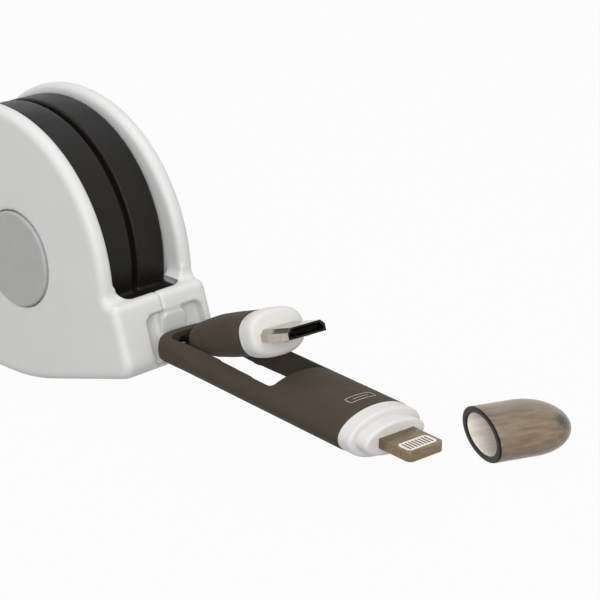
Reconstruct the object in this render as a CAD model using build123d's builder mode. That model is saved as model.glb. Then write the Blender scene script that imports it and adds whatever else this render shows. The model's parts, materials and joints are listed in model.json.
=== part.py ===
from build123d import *
from math import acos, asin, atan2, cos, degrees, hypot, pi, radians, sin, sqrt, tan
import os

os.makedirs("parts", exist_ok=True)

# Retractable charging cable: a round-cheeked housing with a spring-wound spool, a flat cable that
# leaves its sloping front, a small USB plug and a looped adapter that hangs on the cable.
# Millimetres. Origin on the floor under the axle, +X out of the outlet, +Z up, mid plane at Y = 0.

# Housing outline
half_width = 9.7
cheek_thickness = 2.8
arch_height = 19.0
rim_radius = 26.8
foot_front = 6.6
ledge_reach = 2.5
ledge_z = 18.9
nose_reach = 3.7
nose_z = 7.8
sweep_radius = 40.0
nose_round = 2.6
ledge_round = 1.5
flare_radius = 1.3
heel_round = 2.0
side_round = 1.4
lip_round = 1.2
window_round = 2.0
floor_wall = 1.4
front_wall = 2.1
ledge_back_round = 0.8
seam_width = 0.24
seam_depth = 0.3

# Inner casing
drum_radius = 23.4
drum_shoulder = 1.5
snout_drop = 1.3
casing_wall = 1.0
fit_gap = 0.1
groove_half = 0.55
groove_depth = 1.5
chamber_gap = 0.7

# Spool, all turning on the axle
axle_z = 21.1
flange_margin = 1.3
flange_thickness = 0.8
flange_edge = 0.3
hub_radius = 8.5
hub_wall = 1.2
lane_y = 2.0
lane_gap = 0.4
wound_radius = 16.3
ratchet_outer = 15.6
ratchet_root = 13.8
ratchet_tip = 12.4
ratchet_height = 1.6
ratchet_count = 16
tooth_gap_half = 1.2
tooth_slant = 0.8

# Axle and mainspring
axle_radius = 1.5
arbor_radius = 2.2
spigot_radius = 1.2
running_gap = 0.05
arbor_slot = 0.6
spring_strip = 0.25
spring_turns = 6
spring_clear = 0.4

# Flat cable
cable_width = 2.8
cable_thickness = 1.1
cable_round = 0.33
coil_clear = 0.3
channel_gap = 0.3

# Button, pawl and their springs
button_x = 5.0
button_z = 21.0
button_radius = 8.0
button_proud = 0.4
button_face = 1.0
button_skirt = 1.0
button_flange = 0.5
flange_reach = 0.7
button_seat = 0.05
button_edge = 0.35
button_spring_radius = 4.6
button_spring_wire = 0.3
button_spring_height = 1.3
button_spring_turns = 2.5
well_gap = 0.15
well_lip = 0.9
stem_radius = 1.8
stem_tip_radius = 0.55
stem_guide_wall = 0.9
stem_guide_length = 1.6
pawl_x = 7.0
pawl_z = 28.6
pawl_boss = 1.5
pawl_nose_x = -1.9
pawl_nose_z = 32.2
pawl_nose_radius = 0.7
pawl_tail_length = 7.6
pawl_tail_radius = 0.9
pawl_thickness = 1.2
pawl_clear = 0.3
pawl_swing = 7.56
pin_radius = 0.8
pawl_rest_gap = 0.65
pawl_spring_radius = 1.25
pawl_spring_wire = 0.3
pawl_spring_turns = 3
stem_rest_gap = 0.4

# Screws
screw_places = ((24.4, 15.0), (-16.8, 6.8))
screw_length = 11.0
screw_bit = 0.7
screw_bit_depth = 0.6
screw_shank = 0.8
screw_head = 1.7
screw_head_height = 1.2
screw_sink = 1.6
boss_radius = 1.9

# Outlet recess in the front face
recess_width = 11.8
recess_low = 8.6
recess_high = 16.2
recess_shift = 0.0
recess_depth = 2.0
recess_round = 1.6
eyelet_half_width = 2.5
eyelet_low = 9.6
eyelet_high = 15.5
eyelet_round = 0.9
eyelet_gap = 0.35

# Rear grommet
grommet_angle = 204.0
grommet_radius = 2.3
grommet_flange = 3.2
grommet_flange_thickness = 0.9
grommet_sink = 0.6
grommet_bore = 1.5
grommet_edge = 0.4

# Pivot of the plug, where the flat cable comes out of the adapter's loop
pivot_ahead = 0.5
pivot_z = 12.0
pivot_setback = 2.9
pivot_gap = 0.3

# Adapter, measured forward from the outer end of its loop
adapter_yaw = -5.24
adapter_half_width = 7.2
adapter_half_height = 3.4
strap_half_height = 1.9
strap_half_width = 6.4
strap_round = 4.6
strap_thickness = 2.0
arm_thickness = 1.8
opening_end = 30.5
opening_round = 3.4
socket_corner = 0.8
body_end = 47.3
ring_one_length = 2.5
ring_two_length = 2.2
ring_one_half_width = 6.9
ring_one_half_height = 3.5
ring_two_half_width = 5.7
ring_two_half_height = 2.5
ring_round = 0.5
tab_width = 6.65
tab_thickness = 1.5
tab_length = 6.5
tab_root = 4.0
tab_corner = 0.9
insert_width = 5.6
insert_length = 2.7
insert_back = 3.1
insert_corner = 0.7
contact_count = 8
contact_pitch = 0.6
contact_width = 0.3
contact_length = 1.9
contact_back = 3.5
contact_thickness = 0.2
socket_depth = 6.0
socket_wall = 0.3
socket_gap = 0.15

# Small USB plug, measured forward from the pivot
plug_yaw = -8.0
plug_pitch = 20.0
shell_width = 6.85
shell_thickness = 1.8
shell_sheet = 0.3
shell_end = 33.1
shell_start = 25.9
shell_root = 4.0
shell_chamfer = 0.7
collar_start = 19.0
collar_half_width = 5.4
collar_half_height = 3.7
collar_round = 1.1
grip_start = 3.4
grip_half_width = 4.75
grip_half_height = 3.4
grip_tail_half_width = 3.7
grip_tail_half_height = 2.4
tongue_thickness = 0.6
tongue_width = 4.6
hook_length = 1.5
hook_drop = 0.45
hook_width = 0.9
hook_spread = 4.2

# Cap, taken off the adapter and lying on the floor beside it
cap_x = 78.9
cap_y = 20.5
cap_yaw = 66.0
cap_half_width = 6.8
cap_half_height = 3.8
cap_length = 14.6
cap_straight = 7.3
cap_wall = 0.9


def side_plane(y):
    """Sketch plane at this Y, X to the right and Z up. A positive extrude goes towards -Y."""
    return Plane.XZ.offset(-y)


def side_of(frame):
    """Upright plane along a head's axis, through its middle."""
    return Plane(origin=frame.origin, x_dir=frame.x_dir, z_dir=-frame.y_dir)


def section_of(frame, along):
    """Plane across a head's axis, at this distance from its origin."""
    return Plane(origin=frame.origin + frame.x_dir * along, x_dir=frame.y_dir, z_dir=frame.x_dir)


# Derived places, the front block ahead of the rim and the rings ahead of the adapter's body
ledge_x = rim_radius + ledge_reach
nose_x = ledge_x + nose_reach
pivot_x = nose_x + pivot_ahead
ring_one_end = body_end + ring_one_length
ring_two_end = ring_one_end + ring_two_length
inner_half = half_width - cheek_thickness
chamber_half = inner_half - casing_wall
sweep_slope = nose_z / (nose_x - foot_front)
far = 3 * rim_radius
lane_low = lane_y - cable_width / 2 - lane_gap
lane_high = lane_y + cable_width / 2 + lane_gap
right_flange_y = lane_high + flange_thickness
left_flange_y = lane_low - flange_thickness
teeth_y = left_flange_y - ratchet_height
flange_radius = wound_radius + flange_margin
chamber_radius = flange_radius + chamber_gap
hub_inner = hub_radius - hub_wall

# The cable leaves the winding along the tangent that passes the pivot
lead_radius = wound_radius + coil_clear + cable_thickness / 2
pivot_drop = axle_z - pivot_z
pivot_reach = hypot(pivot_x, pivot_drop)
tangent_angle = -atan2(pivot_drop, pivot_x) - acos(lead_radius / pivot_reach)
lead_pitch = tangent_angle + pi / 2
lead_start = Vector(lead_radius * cos(tangent_angle), lane_y, axle_z + lead_radius * sin(tangent_angle))
lead_dir = Vector(cos(lead_pitch), 0, sin(lead_pitch))
lead_length = sqrt(pivot_reach**2 - lead_radius**2)
lead_frame = Plane(origin=lead_start, x_dir=lead_dir, z_dir=(-sin(lead_pitch), 0, cos(lead_pitch)))

# Frames of the two heads
pivot = Vector(pivot_x, lane_y, pivot_z)
adapter_dir = Vector(cos(radians(adapter_yaw)), sin(radians(adapter_yaw)), 0)
adapter_frame = Plane(origin=pivot - adapter_dir * pivot_setback, x_dir=adapter_dir, z_dir=(0, 0, 1))
plug_level = Vector(cos(radians(plug_yaw)), sin(radians(plug_yaw)), 0)
plug_dir = plug_level * cos(radians(plug_pitch)) + Vector(0, 0, sin(radians(plug_pitch)))
plug_up = Vector(0, 0, cos(radians(plug_pitch))) - plug_level * sin(radians(plug_pitch))
plug_frame = Plane(origin=pivot, x_dir=plug_dir, z_dir=plug_up)

# The front face leans back from the nose to the ledge
face_lean = atan2(nose_x - ledge_x, ledge_z - nose_z)
recess_y = lane_y + recess_shift

# Direction of the rear inlet from the centre of the arch
arch_centre = Vector(0, 0, arch_height)
grommet_dir = Vector(cos(radians(grommet_angle)), 0, sin(radians(grommet_angle)))
drum_rise = axle_z - arch_height
inlet_drop = drum_rise * sin(radians(grommet_angle))
inlet_start = inlet_drop + sqrt(drum_radius**2 - drum_rise**2 + inlet_drop**2)


def face_x(z):
    """X of the front face at this height."""
    return ledge_x + (ledge_z - z) * tan(face_lean)


def face_plane(z, depth):
    """Plane on the front face at this height, sunk by depth, X across the housing."""
    normal = Vector(cos(face_lean), 0, sin(face_lean))
    return Plane(origin=Vector(face_x(z), 0, z) - normal * depth, x_dir=(0, 1, 0), z_dir=normal)


def under_points(lift):
    """Corners of all that lies below the underside raised by lift: flat foot, then the sweep."""
    return (
        (-far, lift),
        (foot_front, lift),
        (far, lift + (far - foot_front) * sweep_slope),
        (far, -far),
        (-far, -far),
    )


def housing_outline(y):
    """Side view of the housing: round cheek, front block, swept underside."""
    heel_x = -sqrt(rim_radius**2 - arch_height**2)
    corners = (
        ((foot_front, 0), sweep_radius),
        ((nose_x, nose_z), nose_round),
        ((ledge_x, ledge_z), ledge_round),
        ((rim_radius, ledge_z), flare_radius),
        ((heel_x, 0), heel_round),
    )
    with BuildSketch(side_plane(y)) as outline:
        with Locations((0, arch_height)):
            Circle(rim_radius)
        Polygon((0, 0), (foot_front, 0), (nose_x, nose_z), (ledge_x, ledge_z), (0, ledge_z), align=None)
        Polygon(*under_points(0), align=None, mode=Mode.SUBTRACT)
        for corner, radius in corners:
            fillet(outline.vertices().sort_by_distance(corner)[0], radius)
    return outline.sketch


def core_outline(y, gap):
    """Side view of the inner casing, grown by gap: the drum and the snout inside the front block."""
    front = ledge_x - front_wall + gap
    top = ledge_z - snout_drop
    with BuildSketch(side_plane(y)) as outline:
        with Locations((0, axle_z)):
            Circle(drum_radius + gap)
        Polygon((0, 0), (front, 0), (front, top), (0, top), align=None)
        Polygon(*under_points(floor_wall + fit_gap - gap), align=None, mode=Mode.SUBTRACT)
    return outline.sketch


def lead_channel(gap, start, end):
    """Straight passage of the flat cable, grown by gap all round, from start to end along the lead."""
    with BuildPart() as channel:
        with BuildSketch(section_of(lead_frame, start)):
            Rectangle(cable_width + 2 * gap, cable_thickness + 2 * gap)
        extrude(amount=end - start)
    return channel.part


def across(x, z, radius, y_low, y_high):
    """Round bar along Y between two heights across the housing, for bosses, pins and holes."""
    with BuildPart() as bar:
        with BuildSketch(side_plane(y_high)):
            with Locations((x, z)):
                Circle(radius)
        extrude(amount=y_high - y_low)
    return bar.part


def coil(x, z, radius, wire, y_start, height, turns):
    """Helical wire spring along Y."""
    with BuildPart() as spring:
        with BuildLine() as path:
            Helix(height / turns, height, radius, center=(x, y_start, z), direction=(0, 1, 0))
        with BuildSketch(Plane(origin=path.line @ 0, z_dir=path.line % 0)):
            RegularPolygon(wire / 2, 6)
        sweep(is_frenet=True)
    return spring.part


def inlet_plane(reach):
    """Plane across the rear inlet, this far from the arch's centre."""
    return Plane(origin=arch_centre + grommet_dir * reach, z_dir=grommet_dir)


# Housing: one outline, cheeks left standing over an open window, then parted at the mid plane
face_middle = (recess_low + recess_high) / 2
recess_height = (recess_high - recess_low) / cos(face_lean)
snout_gap_end = ledge_x - front_wall + fit_gap

# rounds the inner edge of both rims, above the front block
with BuildPart() as lip_cutter:
    with BuildSketch(Plane.YZ) as lip:
        with Locations((0, arch_height + rim_radius - lip_round)):
            Rectangle(2 * (inner_half + lip_round), 2 * lip_round, align=(Align.CENTER, Align.MIN))
        with Locations((inner_half + lip_round, arch_height + rim_radius - lip_round)):
            Circle(lip_round, mode=Mode.SUBTRACT)
        with Locations((-inner_half - lip_round, arch_height + rim_radius - lip_round)):
            Circle(lip_round, mode=Mode.SUBTRACT)
    revolve(axis=Axis((0, 0, arch_height), (0, 1, 0)))
    split(bisect_by=Plane.XY.offset(ledge_z + window_round), keep=Keep.TOP)

with BuildPart() as housing_blank:
    extrude(housing_outline(half_width), amount=2 * half_width)
    fillet(housing_blank.faces().filter_by(Axis.Y).edges(), side_round)
    extrude(core_outline(inner_half, fit_gap), amount=2 * inner_half, mode=Mode.SUBTRACT)
    with BuildSketch(Plane.YZ.offset(-far / 2)):
        with Locations((0, ledge_z + far / 2)):
            RectangleRounded(2 * inner_half, far, window_round)
    extrude(amount=far, mode=Mode.SUBTRACT)
    # the gap over the casing's snout, and the round on the ledge's rear edge
    with BuildSketch(side_plane(inner_half)):
        with Locations((0, ledge_z)):
            Rectangle(snout_gap_end, snout_drop, align=(Align.MIN, Align.MAX))
        with Locations((snout_gap_end, ledge_z)):
            Rectangle(ledge_back_round, ledge_back_round, align=(Align.MIN, Align.MAX))
        with Locations((snout_gap_end + ledge_back_round, ledge_z - ledge_back_round)):
            Circle(ledge_back_round, mode=Mode.SUBTRACT)
    extrude(amount=2 * inner_half, mode=Mode.SUBTRACT)
    add(lip_cutter.part, mode=Mode.SUBTRACT)
    # recess for the adapter's loop, with the eyelet standing in it
    with BuildSketch(face_plane(face_middle, recess_depth)):
        with Locations((recess_y, 0)):
            RectangleRounded(recess_width, recess_height, recess_round)
    extrude(amount=2 * recess_depth, mode=Mode.SUBTRACT)
    with BuildSketch(Plane.YZ.offset(snout_gap_end)):
        with Locations((lane_y, (eyelet_low + eyelet_high) / 2)):
            RectangleRounded(2 * eyelet_half_width, eyelet_high - eyelet_low, eyelet_round)
    extrude(amount=adapter_frame.origin.X - eyelet_gap - snout_gap_end)
    add(lead_channel(channel_gap, lead_length / 2, 2 * lead_length), mode=Mode.SUBTRACT)
    # rear inlet with a flat for the grommet's flange
    with BuildSketch(inlet_plane(rim_radius - grommet_sink)):
        Circle(grommet_flange + fit_gap)
    extrude(amount=far / 4, mode=Mode.SUBTRACT)
    with BuildSketch(inlet_plane(inlet_start)):
        Circle(grommet_radius)
    extrude(amount=far / 4, mode=Mode.SUBTRACT)

# fine line where the halves meet
with BuildPart() as seam:
    extrude(housing_outline(seam_width / 2), amount=seam_width)
    inside = offset(housing_outline(seam_width / 2), -seam_depth, mode=Mode.PRIVATE)
    extrude(inside, amount=seam_width, mode=Mode.SUBTRACT)
    # the flat foot stays whole
    with Locations((foot_front, 0, 0)):
        foot_align = (Align.MAX, Align.CENTER, Align.CENTER)
        Box(far, 2 * seam_width, 2 * seam_depth, align=foot_align, mode=Mode.SUBTRACT)

well_radius = button_radius + well_gap
well_floor = button_radius + flange_reach + well_gap
screw_thread = screw_length - half_width + screw_sink

with BuildPart() as button_side_cover:
    add(housing_blank.part)
    split(bisect_by=Plane.XZ, keep=Keep.TOP)
    add(seam.part, mode=Mode.SUBTRACT)
    for x, z in screw_places:
        add(across(x, z, boss_radius, -inner_half, 0))
        add(across(x, z, screw_shank + running_gap, -screw_thread, 0), mode=Mode.SUBTRACT)
    add(across(button_x, button_z, well_radius, -2 * half_width, -inner_half), mode=Mode.SUBTRACT)
    add(across(button_x, button_z, well_floor, well_lip - half_width, -inner_half), mode=Mode.SUBTRACT)
button_side_cover.part.label = "button_side_cover"

with BuildPart() as screw_side_cover:
    add(housing_blank.part)
    split(bisect_by=Plane.XZ, keep=Keep.BOTTOM)
    add(seam.part, mode=Mode.SUBTRACT)
    for x, z in screw_places:
        add(across(x, z, boss_radius, 0, inner_half))
        add(across(x, z, screw_shank + 2 * fit_gap, 0, half_width), mode=Mode.SUBTRACT)
        head_seat = half_width - screw_sink - screw_head_height
        add(across(x, z, screw_head + fit_gap, head_seat, half_width), mode=Mode.SUBTRACT)
screw_side_cover.part.label = "screw_side_cover"

# Inner casing: two shells with rounded shoulders, a stepped joint that leaves the groove,
# and the round chamber for the spool
with BuildPart() as casing_blank:
    with BuildSketch(Plane.YZ) as drum_section:
        with Locations((0, axle_z)):
            Rectangle(2 * inner_half, drum_radius, align=(Align.CENTER, Align.MIN))
        fillet(drum_section.vertices().sort_by(Axis.Y)[-2:], drum_shoulder)
    revolve(axis=Axis((0, 0, axle_z), (0, 1, 0)))
    with BuildSketch(side_plane(inner_half)):
        Rectangle(ledge_x - front_wall, ledge_z - snout_drop, align=(Align.MIN, Align.MIN))
    extrude(amount=2 * inner_half)
    with BuildSketch(side_plane(inner_half)):
        Polygon(*under_points(floor_wall + fit_gap), align=None)
    extrude(amount=2 * inner_half, mode=Mode.SUBTRACT)
    with BuildSketch(side_plane(groove_half)):
        with Locations((0, axle_z)):
            Circle(drum_radius + 1)
            Circle(drum_radius - groove_depth, mode=Mode.SUBTRACT)
        with Locations((0, ledge_z - snout_drop - far / 2)):
            Rectangle(2 * far, far, mode=Mode.SUBTRACT)
    extrude(amount=2 * groove_half, mode=Mode.SUBTRACT)
    add(across(0, axle_z, chamber_radius, -chamber_half, chamber_half), mode=Mode.SUBTRACT)
    add(lead_channel(channel_gap, 0, 2 * lead_length), mode=Mode.SUBTRACT)
    for x, z in screw_places:
        add(across(x, z, boss_radius + fit_gap, -half_width, half_width), mode=Mode.SUBTRACT)
    with BuildSketch(inlet_plane(axle_radius)):
        Circle(grommet_bore)
    extrude(amount=far, mode=Mode.SUBTRACT)

stem_end_y = teeth_y + (ratchet_height - pawl_clear - pawl_thickness) - stem_rest_gap
pawl_low = left_flange_y - pawl_clear - pawl_thickness
pawl_high = left_flange_y - pawl_clear
guide_end = stem_guide_length - chamber_half

with BuildPart() as button_side_casing:
    add(casing_blank.part)
    split(bisect_by=Plane.XZ, keep=Keep.TOP)
    guide_radius = stem_radius + 2 * fit_gap + stem_guide_wall
    add(across(button_x, button_z, guide_radius, -chamber_half, guide_end))
    add(across(button_x, button_z, stem_radius + 2 * fit_gap, -half_width, guide_end), mode=Mode.SUBTRACT)
    add(across(0, axle_z, spigot_radius + running_gap, -inner_half, -chamber_half), mode=Mode.SUBTRACT)
    add(across(pawl_x, pawl_z, pin_radius, -inner_half, -chamber_half), mode=Mode.SUBTRACT)
button_side_casing.part.label = "button_side_casing"

with BuildPart() as screw_side_casing:
    add(casing_blank.part)
    split(bisect_by=Plane.XZ, keep=Keep.BOTTOM)
    add(across(0, axle_z, spigot_radius + running_gap, chamber_half, inner_half), mode=Mode.SUBTRACT)
screw_side_casing.part.label = "screw_side_casing"

# Axle: thin end in the ratchet flange, thick end as the arbor that holds the mainspring
arbor_start = lane_low + fit_gap
with BuildPart() as axle:
    add(across(0, axle_z, axle_radius, -chamber_half, arbor_start))
    add(across(0, axle_z, arbor_radius, arbor_start, chamber_half))
    add(across(0, axle_z, spigot_radius, -inner_half + fit_gap, -chamber_half))
    add(across(0, axle_z, spigot_radius, chamber_half, inner_half - fit_gap))
    with BuildSketch(side_plane(lane_high)):
        with Locations((0, axle_z)):
            Rectangle(arbor_slot, 4 * arbor_radius, align=(Align.CENTER, Align.MIN))
    extrude(amount=cable_width + lane_gap, mode=Mode.SUBTRACT)
axle.part.label = "axle"

# Spool: hub with the far flange, open at both ends
with BuildPart() as spool:
    add(across(0, axle_z, hub_radius, lane_low, right_flange_y))
    add(across(0, axle_z, flange_radius, lane_high, right_flange_y))
    add(across(0, axle_z, hub_inner, lane_low, right_flange_y), mode=Mode.SUBTRACT)
    rims = spool.edges().filter_by(GeomType.CIRCLE).filter_by(lambda e: e.radius > wound_radius)
    chamfer(rims, flange_edge)
spool.part.label = "spool"

# Ratchet flange: the near flange, with a ring of inward teeth on its outer face
nose_out_x = pawl_nose_x - pawl_x
nose_out_z = pawl_nose_z - pawl_z
swing = radians(pawl_swing)
engaged_x = pawl_x + nose_out_x * cos(swing) + nose_out_z * sin(swing)
engaged_z = pawl_z - nose_out_x * sin(swing) + nose_out_z * cos(swing) - axle_z
tooth_angle = degrees(atan2(engaged_z, engaged_x))

with BuildPart() as ratchet_flange:
    add(across(0, axle_z, flange_radius, left_flange_y, lane_low))
    chamfer(ratchet_flange.edges().filter_by(GeomType.CIRCLE), flange_edge)
    with BuildSketch(side_plane(left_flange_y)):
        with Locations((0, axle_z)):
            Circle(ratchet_outer)
            Circle(ratchet_tip, mode=Mode.SUBTRACT)
            with PolarLocations(0, ratchet_count, start_angle=tooth_angle):
                Polygon(
                    (ratchet_tip - 1, tooth_gap_half),
                    (ratchet_root, tooth_gap_half),
                    (ratchet_root, tooth_slant - 2 * tooth_gap_half),
                    (ratchet_tip - 1, -2 * tooth_gap_half),
                    align=None,
                    mode=Mode.SUBTRACT,
                )
    extrude(amount=ratchet_height)
    add(across(0, axle_z, axle_radius + running_gap, left_flange_y, lane_low), mode=Mode.SUBTRACT)
ratchet_flange.part.label = "ratchet_flange"

# Cover that keeps the mainspring in the hub and runs on the arbor
with BuildPart() as spring_cover:
    add(across(0, axle_z, hub_inner - fit_gap, lane_high, right_flange_y))
    add(across(0, axle_z, arbor_radius + running_gap, lane_high, right_flange_y), mode=Mode.SUBTRACT)
spring_cover.part.label = "spring_cover"

# Mainspring: a flat strip wound in half turns of growing radius
spring_inner = arbor_radius + spring_clear
spring_outer = hub_inner - spring_strip
spring_step = (spring_outer - spring_inner) / (2 * spring_turns)
with BuildPart() as mainspring:
    with BuildSketch(side_plane(lane_y + cable_width / 2)):
        with BuildLine():
            for half_turn in range(2 * spring_turns):
                shift = spring_step if half_turn % 2 else 0
                radius = spring_inner + half_turn * spring_step
                CenterArc((shift, axle_z), radius, 180 * half_turn, 180)
        trace(line_width=spring_strip)
    extrude(amount=cable_width)
mainspring.part.label = "mainspring"

# Flat cable: the wound turns as one solid, and the straight stretch to the pivot
with BuildPart() as wound_cable:
    add(across(0, axle_z, wound_radius, lane_y - cable_width / 2, lane_y + cable_width / 2))
    add(across(0, axle_z, hub_radius + fit_gap, lane_low, lane_high), mode=Mode.SUBTRACT)
wound_cable.part.label = "wound_cable"

tail_round = cable_thickness / 2
with BuildPart() as cable_lead:
    add(lead_channel(0, 0, lead_length - 2 * tail_round - pivot_gap))
    fillet(cable_lead.edges().filter_by(lambda e: abs(e.tangent_at(0).dot(lead_dir)) > 0.99), cable_round)
cable_lead.part.label = "cable_lead"

# Pawl: a two-armed lever whose nose drops into a tooth gap when the stem pushes its tail
stem_reach = hypot(button_x - pawl_x, button_z - pawl_z)
stem_bearing = atan2(button_z - pawl_z, button_x - pawl_x)
tail_edge = pawl_rest_gap + pawl_tail_radius
tail_bearing = stem_bearing - asin(tail_edge / stem_reach)
tail_x = pawl_x + pawl_tail_length * cos(tail_bearing)
tail_z = pawl_z + pawl_tail_length * sin(tail_bearing)
with BuildPart() as pawl:
    for arm_x, arm_z, arm_radius in (
        (pawl_nose_x, pawl_nose_z, pawl_nose_radius),
        (tail_x, tail_z, pawl_tail_radius),
    ):
        with BuildSketch(side_plane(pawl_high)):
            with Locations((pawl_x, pawl_z)):
                Circle(pawl_boss)
            with Locations((arm_x, arm_z)):
                Circle(arm_radius)
            make_hull()
        extrude(amount=pawl_thickness)
    add(across(pawl_x, pawl_z, pin_radius + running_gap, pawl_low, pawl_high), mode=Mode.SUBTRACT)
pawl.part.label = "pawl"

with BuildPart() as pawl_pin:
    add(across(pawl_x, pawl_z, pin_radius, -inner_half + fit_gap, left_flange_y - fit_gap))
pawl_pin.part.label = "pawl_pin"

with BuildPart() as pawl_spring:
    spring_low = -chamber_half + pawl_clear
    spring_height = pawl_low - pawl_clear - spring_low
    spring_size = (pawl_spring_radius, pawl_spring_wire, spring_low, spring_height, pawl_spring_turns)
    add(coil(pawl_x, pawl_z, *spring_size))
pawl_spring.part.label = "pawl_spring"

# Push button: a shallow cup with a retaining flange and a stem that ends in a cone
button_out = -half_width - button_proud
flange_out = well_lip - half_width + button_seat
with BuildPart() as release_button:
    add(across(button_x, button_z, button_radius, button_out, flange_out + button_flange))
    fillet(release_button.faces().sort_by(Axis.Y)[0].edges(), button_edge)
    add(across(button_x, button_z, button_radius + flange_reach, flange_out, flange_out + button_flange))
    cup_radius = button_radius - button_skirt
    cup_floor = button_out + button_face
    add(across(button_x, button_z, cup_radius, cup_floor, flange_out + button_flange), mode=Mode.SUBTRACT)
    add(across(button_x, button_z, stem_radius, cup_floor, stem_end_y))
    stem_tip = release_button.faces().filter_by(Axis.Y).sort_by(Axis.Y)[-1]
    chamfer(stem_tip.edges(), stem_radius - stem_tip_radius)
release_button.part.label = "release_button"

with BuildPart() as button_spring:
    seat_y = -inner_half - button_spring_wire
    add(
        coil(
            button_x,
            button_z,
            button_spring_radius,
            button_spring_wire,
            seat_y - button_spring_height,
            button_spring_height,
            button_spring_turns,
        )
    )
button_spring.part.label = "button_spring"

# Two screws from the plain side
with BuildPart() as cover_screws:
    head_top = half_width - screw_sink
    for x, z in screw_places:
        add(across(x, z, screw_shank, head_top - screw_length, head_top))
        add(across(x, z, screw_head, head_top - screw_head_height, head_top))
        with BuildSketch(side_plane(head_top)):
            with Locations((x, z)):
                RegularPolygon(screw_bit, 6)
        extrude(amount=screw_bit_depth, mode=Mode.SUBTRACT)
cover_screws.part.label = "cover_screws"

# Rear grommet for the host lead
with BuildPart() as rear_grommet:
    with BuildSketch(inlet_plane(inlet_start + 2 * fit_gap)):
        Circle(grommet_radius - fit_gap)
    extrude(amount=rim_radius - grommet_sink - inlet_start - 2 * fit_gap)
    with BuildSketch(inlet_plane(rim_radius - grommet_sink)):
        Circle(grommet_flange)
    extrude(amount=grommet_flange_thickness)
    outer_face = rear_grommet.faces().sort_by(lambda f: (f.center() - arch_centre).length)[-1]
    fillet(outer_face.edges(), grommet_edge)
    with BuildSketch(inlet_plane(inlet_start)):
        Circle(grommet_bore)
    extrude(amount=far / 4, mode=Mode.SUBTRACT)
rear_grommet.part.label = "rear_grommet"

# Adapter: an oval rubbery bar with a long opening, so that its rear is a loop round the cable
bulk = 2 * adapter_half_width
with BuildPart() as adapter_body:
    with BuildSketch(section_of(adapter_frame, 0)):
        Ellipse(adapter_half_width, adapter_half_height)
    extrude(amount=body_end)
    with BuildSketch(adapter_frame) as plan:
        Polygon(
            (0, strap_half_width),
            (opening_end, adapter_half_width + 1),
            (body_end, adapter_half_width + 1),
            (body_end, -adapter_half_width - 1),
            (opening_end, -adapter_half_width - 1),
            (0, -strap_half_width),
            align=None,
        )
        fillet(plan.vertices().sort_by(Axis.X)[:2], strap_round)
    extrude(amount=bulk, both=True, mode=Mode.INTERSECT)
    with BuildSketch(side_of(adapter_frame)):
        Polygon(
            (0, strap_half_height),
            (strap_thickness * 2, strap_half_height),
            (opening_end, adapter_half_height),
            (body_end, adapter_half_height),
            (body_end, -adapter_half_height),
            (opening_end, -adapter_half_height),
            (strap_thickness * 2, -strap_half_height),
            (0, -strap_half_height),
            align=None,
        )
    extrude(amount=bulk, both=True, mode=Mode.INTERSECT)
    with BuildSketch(adapter_frame) as gap_plan:
        Polygon(
            (strap_thickness, strap_half_width - arm_thickness),
            (opening_end, adapter_half_width - arm_thickness),
            (opening_end, arm_thickness - adapter_half_width),
            (strap_thickness, arm_thickness - strap_half_width),
            align=None,
        )
        fillet(gap_plan.vertices().sort_by(Axis.X)[:2], opening_round)
        fillet(gap_plan.vertices().sort_by(Axis.X)[-2:], socket_corner)
    extrude(amount=bulk, both=True, mode=Mode.SUBTRACT)
    add(lead_channel(running_gap, lead_length / 2, lead_length), mode=Mode.SUBTRACT)
    socket_width = shell_width + 2 * (socket_wall + socket_gap)
    socket_height = shell_thickness + 2 * (socket_wall + socket_gap)
    with BuildSketch(section_of(adapter_frame, opening_end)):
        RectangleRounded(socket_width, socket_height, socket_wall * 2)
    extrude(amount=socket_depth, mode=Mode.SUBTRACT)
adapter_body.part.label = "adapter_body"

with BuildPart() as adapter_socket:
    with BuildSketch(section_of(adapter_frame, opening_end)):
        RectangleRounded(socket_width, socket_height, socket_wall * 2)
    extrude(amount=socket_depth)
    with BuildSketch(section_of(adapter_frame, opening_end)):
        Rectangle(socket_width - 2 * socket_wall, socket_height - 2 * socket_wall)
    extrude(amount=socket_depth - socket_wall, mode=Mode.SUBTRACT)
adapter_socket.part.label = "adapter_socket"

with BuildPart() as adapter_collar:
    for start, end, half_w, half_h in (
        (body_end, ring_one_end, ring_one_half_width, ring_one_half_height),
        (ring_one_end, ring_two_end, ring_two_half_width, ring_two_half_height),
    ):
        with BuildSketch(section_of(adapter_frame, start)):
            Ellipse(half_w, half_h)
        extrude(amount=end - start)
        front_face = adapter_collar.faces().sort_by(Axis(adapter_frame.origin, adapter_dir))[-1]
        fillet(front_face.edges(), ring_round)
    with BuildSketch(section_of(adapter_frame, ring_two_end - tab_root)):
        Rectangle(tab_width, tab_thickness)
    extrude(amount=2 * tab_root, mode=Mode.SUBTRACT)
adapter_collar.part.label = "adapter_collar"

insert_start = ring_two_end + insert_back
with BuildPart() as adapter_tab:
    with BuildSketch(adapter_frame.offset(-tab_thickness / 2)) as tab_plan:
        with Locations((ring_two_end - tab_root, 0)):
            Rectangle(tab_root + tab_length, tab_width, align=(Align.MIN, Align.CENTER))
        fillet(tab_plan.vertices().sort_by(Axis.X)[-2:], tab_corner)
    extrude(amount=tab_thickness)
    with BuildSketch(adapter_frame.offset(-tab_thickness)) as window_plan:
        with Locations((insert_start, 0)):
            Rectangle(insert_length, insert_width, align=(Align.MIN, Align.CENTER))
        fillet(window_plan.vertices(), insert_corner)
    extrude(amount=2 * tab_thickness, mode=Mode.SUBTRACT)
adapter_tab.part.label = "adapter_tab"

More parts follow.
